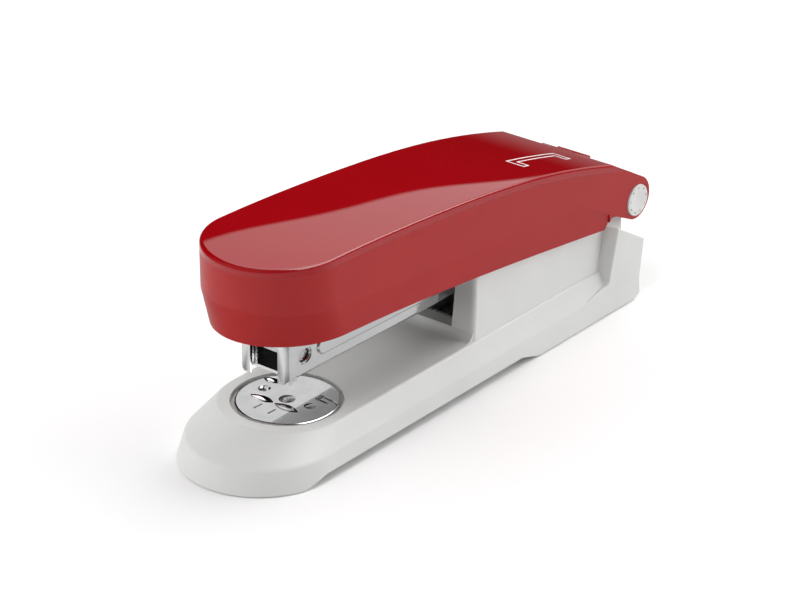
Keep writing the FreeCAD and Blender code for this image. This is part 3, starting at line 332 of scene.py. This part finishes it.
def skin(rows, first_index=0):
    """Faces between rows of points, and across both ends."""
    width = len(rows[0])
    faces = []
    for n in range(len(rows) - 1):
        base = first_index + n * width
        for i in range(width):
            j = (i + 1) % width
            faces.append((base + i, base + j, base + width + j, base + width + i))
    end = first_index + (len(rows) - 1) * width
    faces.append(tuple(first_index + i for i in reversed(range(width))))
    faces.append(tuple(end + i for i in range(width)))
    return faces


def make_lid(material):
    rows = lid_rows()
    points = [p for row, _ in rows for p in row]
    normals = [n for _, row in rows for n in row]
    faces = skin([row for row, _ in rows])
    lid = new_piece("lid_skin", points, faces, material, "cover", normals)
    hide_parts("cover_top_panel")
    grip_rows = [grip_row(y) for y in np.linspace(-GRIP_HALF_WIDTH, GRIP_HALF_WIDTH, 2)]
    grip = new_piece("lid_grip", [p for row in grip_rows for p in row], skin(grip_rows), material,
                     "cover")
    bevel = grip.modifiers.new("edges", "BEVEL")
    bevel.width = 0.12 * MM
    bevel.segments = 3
    bevel.limit_method = "ANGLE"
    bevel.harden_normals = True


# The anvil's stamped marks, mm from its centre: (x, y, half length along Y, half width, depth)
CRIMP_GROOVES = ((-3.7, 5.3, 3.8, 1.5, 0.42), (-3.7, -2.85, 3.9, 1.5, 0.42), (5.3, 9.85, 2.9, 1.35, 0.40))
PIERCED_HOLE = (0.7, 8.3, 1.5)              # x, y, radius
DIMPLE = (0.7, -7.0, 1.45, 0.36)            # x, y, radius, height
# engraved and raised lines: ends, half width and height
STAMPED_LINES = (
    ((-8.8, 3.35), (-6.0, 3.2), 0.16, -0.12), ((-8.8, -1.3), (-6.2, -1.4), 0.16, -0.12),
    ((4.85, -6.0), (4.6, -9.2), 0.45, 0.25), ((4.85, -6.0), (6.7, -5.9), 0.6, 0.3),
    ((6.45, -7.05), (6.2, -9.6), 0.3, 0.22), ((6.2, -9.6), (5.4, -12.3), 0.3, 0.22),
)
ANVIL_RIM = 0.5                             # mm, rounding of the disc's rim


def anvil_relief(x, y):
    """Height in mm of the anvil's stamped face over its flat, at (x, y) mm from its centre."""
    height = np.zeros_like(x)
    for cx, cy, length, width, depth in CRIMP_GROOVES:
        along = np.clip(1 - ((y - cy) / length) ** 2, 0, 1)
        across = np.clip(1 - ((x - cx) / (width * np.maximum(along, 0.001))) ** 2, 0, 1)
        height -= depth * across * along ** 0.5
    cx, cy, radius = PIERCED_HOLE
    tab = np.hypot(x - cx - 0.7, y - cy + 0.1) < 0.75
    height -= 0.7 * ((np.hypot(x - cx, y - cy) < radius) & ~tab)
    cx, cy, radius, rise = DIMPLE
    height += rise * np.sqrt(np.clip(1 - ((x - cx) ** 2 + (y - cy) ** 2) / radius ** 2, 0, 1))
    for (x1, y1), (x2, y2), width, rise in STAMPED_LINES:
        reach = math.hypot(x2 - x1, y2 - y1)
        share = np.clip(((x - x1) * (x2 - x1) + (y - y1) * (y2 - y1)) / reach ** 2, 0, 1)
        off = np.hypot(x - x1 - share * (x2 - x1), y - y1 - share * (y2 - y1))
        height += rise * np.clip(1 - (off / width) ** 2, 0, 1)
    return height


def make_anvil(material):
    """The disc as a fine polar height field with a rounded rim, closed below."""
    low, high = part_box("anvil_disc")
    centre, radius = (low + high) / 2, (high.x - low.x) / 2 / MM
    turns = np.linspace(0, 2 * math.pi, 420, endpoint=False)
    flat = np.linspace(0.05, radius - ANVIL_RIM, 130)
    bends = np.radians(np.linspace(10, 90, 9))
    rings = [(r, 0.0) for r in flat]
    rings += [(radius - ANVIL_RIM * (1 - math.sin(b)), ANVIL_RIM * (1 - math.cos(b))) for b in bends]
    rings.append((radius, DISC_TOP - low.z / MM))
    points = []
    for reach, drop in rings:
        x, y = reach * np.cos(turns), reach * np.sin(turns)
        relief = anvil_relief(x, y) if drop == 0 else np.zeros_like(x)
        points += [(centre.x + a * MM, centre.y + b * MM, (DISC_TOP - drop + h) * MM) for a, b, h in zip(x, y, relief)]
    anvil = new_piece("anvil_skin", points, skin_rings(len(turns), len(rings)), material, "anvil")
    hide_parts("anvil_disc")


def skin_rings(width, count):
    """Faces between closed rings of points from the middle outwards, with both ends closed."""
    faces = [tuple(range(width))]
    for n in range(count - 1):
        for i in range(width):
            j = (i + 1) % width
            faces.append((n * width + i, (n + 1) * width + i, (n + 1) * width + j, n * width + j))
    faces.append(tuple(reversed(range((count - 1) * width, count * width))))
    return faces


DISC_TOP = 12.1                             # mm above the floor


def copied_piece(name, node, body):
    """A new piece with a copy of a CAD node's mesh, standing for that node."""
    piece = bpy.data.objects.new(name, nodes[node].data.copy())
    bpy.context.scene.collection.objects.link(piece)
    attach(piece, body)
    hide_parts(node)
    return piece


def soften(name, node, body, width):
    """Sheet metal with rounded edges: the node's own shape with its flat faces joined and its edges bevelled."""
    piece = copied_piece(name, node, body)
    shape = bmesh.new()
    shape.from_mesh(piece.data)
    bmesh.ops.remove_doubles(shape, verts=shape.verts, dist=0.001 * MM)
    bmesh.ops.dissolve_limit(shape, angle_limit=math.radians(1.0), verts=shape.verts, edges=shape.edges)
    shape.to_mesh(piece.data)
    shape.free()
    piece.data.polygons.foreach_set("use_smooth", [True] * len(piece.data.polygons))
    bevel = piece.modifiers.new("edges", "BEVEL")
    bevel.width = width
    bevel.segments = 3
    bevel.limit_method = "ANGLE"
    bevel.angle_limit = math.radians(40)
    bevel.harden_normals = True
    return piece


def make_mark(material):
    """A white printed outline of a staple at the rear of the lid."""
    crown = crown_line()
    path = [Vector(p) for p in STAPLE_OUTLINE]
    points, faces = [], []
    for a, b in zip(path, path[1:] + path[:1]):
        along = (b - a).normalized()
        side = Vector((-along.y, along.x)) * MARK_LINE / 2
        steps = max(1, int((b - a).length / 1.0))
        for n in range(steps + 1):
            middle = a - along * MARK_LINE / 2 + (b - a + along * MARK_LINE) * (n / steps)
            for edge in (middle + side, middle - side):
                x, y = MARK_PLACE[0] + edge.x * MM, MARK_PLACE[1] + edge.y * MM
                points.append((x, y, crown(x) + MARK_THICKNESS))
            if n:
                last = len(points) - 1
                faces.append((last - 3, last - 2, last, last - 1))
    new_piece("printed_mark", points, faces, material, "cover")


STAPLE_OUTLINE = ((0, 0), (0, 5.6), (21, 5.6), (21, 0), (18.9, 0), (18.9, 3.6), (2.1, 3.6), (2.1, 0))    # mm
MARK_LINE = 0.5                             # mm
MARK_PLACE = (34.5 * MM, -10.2 * MM)        # the outline's (0, 0) on the lid
MARK_THICKNESS = 0.02 * MM

make_lid(gloss_red())
make_mark(moulded_plastic("white_print", (0.80, 0.80, 0.80), 0.5, specular=0.2))
make_anvil(mirror_steel())
soften("nose_bracket", "magazine_nose", "magazine", 0.22 * MM)

coil = copied_piece("follower_coil", "follower_spring", "magazine")
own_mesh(coil)
coil = copied_piece("anvil_coil", "anvil_spring", "anvil_lifter")
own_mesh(coil)


# ---------------------------------------------------------------- stage, camera and light
CAMERA_TARGET = Vector((0.001615, 0.00513, 0.01855))
CAMERA_DISTANCE = 0.79179
CAMERA_AZIMUTH = -51.02         # degrees, 0 looks along +Y
CAMERA_ELEVATION = 26.19
CAMERA_LENS = 135.06            # mm, on a 36 mm wide sensor


def direction(azimuth, elevation):
    """Unit vector from the object towards a viewer at that azimuth and elevation in degrees."""
    a, e = math.radians(azimuth), math.radians(elevation)
    return Vector((math.sin(a) * math.cos(e), -math.cos(a) * math.cos(e), math.sin(e)))


def make_camera():
    data = bpy.data.cameras.new("camera")
    data.lens = CAMERA_LENS
    data.sensor_width = 36.0
    data.clip_start = 0.01
    data.clip_end = 50.0
    camera = bpy.data.objects.new("camera", data)
    bpy.context.scene.collection.objects.link(camera)
    back = direction(CAMERA_AZIMUTH, CAMERA_ELEVATION)
    camera.location = CAMERA_TARGET + back * CAMERA_DISTANCE
    camera.rotation_euler = back.to_track_quat("Z", "Y").to_euler()
    bpy.context.scene.camera = camera


def make_floor():
    mesh = bpy.data.meshes.new("floor")
    size = 6.0
    mesh.from_pydata([(-size, -size, 0), (size, -size, 0), (size, size, 0), (-size, size, 0)], [], [(0, 1, 2, 3)])
    floor = bpy.data.objects.new("floor", mesh)
    bpy.context.scene.collection.objects.link(floor)
    m = Nodes("floor")
    m.colour(m.noise(3.0), (0.955, 0.955, 0.955), (0.965, 0.965, 0.965))
    m.set(roughness=0.9, specular=0.0)
    mesh.materials.append(m.material)
    floor.visible_glossy = False


def make_world():
    """The studio: light from the rear and the right and one lamp high on the left, with darkness by the camera.

    Reflections see a simpler one: darkness, a white floor and one large panel with a clean edge.
    """
    world = bpy.data.worlds.new("studio")
    world.use_nodes = True
    tree = world.node_tree
    tree.nodes.clear()

    def add(kind, operation=None, *inputs):
        node = tree.nodes.new(kind)
        if operation:
            node.operation = operation
        for socket, value in zip(node.inputs, inputs):
            if hasattr(value, "links"):
                tree.links.new(value, socket)
            else:
                socket.default_value = value
        return node.outputs[0]

    def maths(operation, *inputs):
        return add("ShaderNodeMath", operation, *inputs)

    def soft_step(value, low, high):
        """0 below low, 1 above high."""
        node = tree.nodes.new("ShaderNodeMapRange")
        node.interpolation_type = "SMOOTHSTEP"
        tree.links.new(value, node.inputs["Value"])
        node.inputs["From Min"].default_value = low
        node.inputs["From Max"].default_value = high
        return node.outputs["Result"]

    place = tree.nodes.new("ShaderNodeTexCoord").outputs["Generated"]
    split = tree.nodes.new("ShaderNodeSeparateXYZ")
    tree.links.new(place, split.inputs[0])
    x, y, z = split.outputs
    height = maths("MULTIPLY", maths("ARCSINE", z), 180 / math.pi)
    bearing = maths("MULTIPLY", maths("ARCTAN2", y, x), 180 / math.pi)
    def round_horizon(values):
        """Brightness over the bearing, eased between values 45 degrees apart from bearing -180 on."""
        node = tree.nodes.new("ShaderNodeValToRGB")
        ramp = node.color_ramp
        ramp.interpolation = "EASE"
        stops = list(values) + [values[0]]
        peak = max(stops)
        while len(ramp.elements) < len(stops):
            ramp.elements.new(0.5)
        for n, (element, value) in enumerate(zip(ramp.elements, stops)):
            element.position = n / (len(stops) - 1)
            element.color = (value / peak,) * 3 + (1.0,)
        tree.links.new(maths("ADD", maths("DIVIDE", bearing, 360.0), 0.5), node.inputs["Fac"])
        return maths("MULTIPLY", node.outputs["Color"], peak)

    lower_edge, upper_edge = [
        maths("ADD", maths("MULTIPLY", height, lean), start) for start, lean in (PANEL_LOWER_EDGE, PANEL_UPPER_EDGE)
    ]
    edge = maths("SUBTRACT", maths("SMOOTH_MAX", lower_edge, upper_edge, PANEL_CORNER), bearing)
    clean_edge = soft_step(edge, -0.09, 0.09)
    lower = maths("MULTIPLY", soft_step(bearing, LOWER_RIGHT, LOWER_RIGHT + 15), soft_step(height, -3.0, 4.0))
    upper = maths("MULTIPLY", soft_step(bearing, UPPER_RIGHT, UPPER_RIGHT + 15), soft_step(height, 28.0, 40.0))
    panel = maths("MAXIMUM", maths("MULTIPLY", lower, LOWER_WHITE), maths("MULTIPLY", upper, UPPER_WHITE))
    panel = maths("MULTIPLY", panel, clean_edge)
    side = maths("SUBTRACT", soft_step(bearing, SIDE_LEFT, SIDE_LEFT + 15), soft_step(bearing, -10.0, 5.0))
    side = maths("MULTIPLY", side, soft_step(height, 24.0, 32.0))
    panel = maths("MAXIMUM", panel, maths("MULTIPLY", side, SIDE_WHITE))
    below = maths("MULTIPLY", height, -1.0)
    ground = maths("MULTIPLY", soft_step(below, -3.5, 16.0), round_horizon(FLOOR_WHITE))
    near = maths("MULTIPLY", soft_step(below, 25.0, 40.0), FLOOR_SHADE)
    ground = maths("MULTIPLY", ground, maths("SUBTRACT", 1.0, near))
    studio = maths("MAXIMUM", maths("MAXIMUM", panel, ground), round_horizon(STUDIO_DARK))

    high = soft_step(height, *HIGH_BAND)
    low = maths("SUBTRACT", 1.0, high)
    light = maths("ADD", maths("MULTIPLY", round_horizon(STUDIO_HIGH), high),
                  maths("MULTIPLY", round_horizon(STUDIO_LOW), low))
    light = maths("MULTIPLY", light, STUDIO_LEVEL)
    strip = maths("MULTIPLY", soft_step(bearing, *STRIP_LEFT), maths("SUBTRACT", 1.0, soft_step(height, 10.0, 16.0)))
    light = maths("ADD", light, maths("MULTIPLY", strip, STRIP_WHITE))
    shiny = tree.nodes.new("ShaderNodeLightPath").outputs["Is Glossy Ray"]
    mix = tree.nodes.new("ShaderNodeMix")
    mix.data_type = "FLOAT"
    tree.links.new(shiny, mix.inputs["Factor"])
    tree.links.new(light, mix.inputs[2])
    tree.links.new(studio, mix.inputs[3])
    background = tree.nodes.new("ShaderNodeBackground")
    tree.links.new(mix.outputs[0], background.inputs["Strength"])
    output = tree.nodes.new("ShaderNodeOutputWorld")
    tree.links.new(background.outputs[0], output.inputs["Surface"])
    bpy.context.scene.world = world


# brightness every 45 degrees of bearing from -180: -X, -X-Y (the camera), -Y, +X-Y, +X, +X+Y, +Y, -X+Y
STUDIO_LOW = (0.0, 0.0, 0.0, 3.8, 3.7, 2.2, 1.55, 1.7)
STUDIO_HIGH = (6.0, 0.0, 0.0, 0.0, 1.8, 0.0, 0.0, 0.5)
STUDIO_LEVEL = 1.15
HIGH_BAND = (25.0, 60.0)        # elevations between which the low row gives way to the high one
# the reflected panel: bearing at the horizon and lean per degree of height of its left edge's two parts
PANEL_LOWER_EDGE = (31.5, 0.186)
PANEL_UPPER_EDGE = (24.2, 0.7475)
PANEL_CORNER = 5.0
LOWER_RIGHT = -25.0             # bearings of its right edges, the upper part being wider and brighter
UPPER_RIGHT = -85.0
LOWER_WHITE = 0.95
UPPER_WHITE = 2.4
FLOOR_WHITE = (1.0, 0.75, 0.6, 0.9, 0.8, 0.9, 1.0, 1.2)
FLOOR_SHADE = 0.75
SIDE_LEFT = -110.0
SIDE_WHITE = 6.0
STUDIO_DARK = (0.3, 0.15, 0.2, 0.2, 0.01, 0.01, 0.01, 0.3)
STRIP_LEFT = (130.0, 140.0)
STRIP_WHITE = 1.8

make_camera()
make_floor()
make_world()
bpy.context.scene.view_settings.view_transform = "Standard"
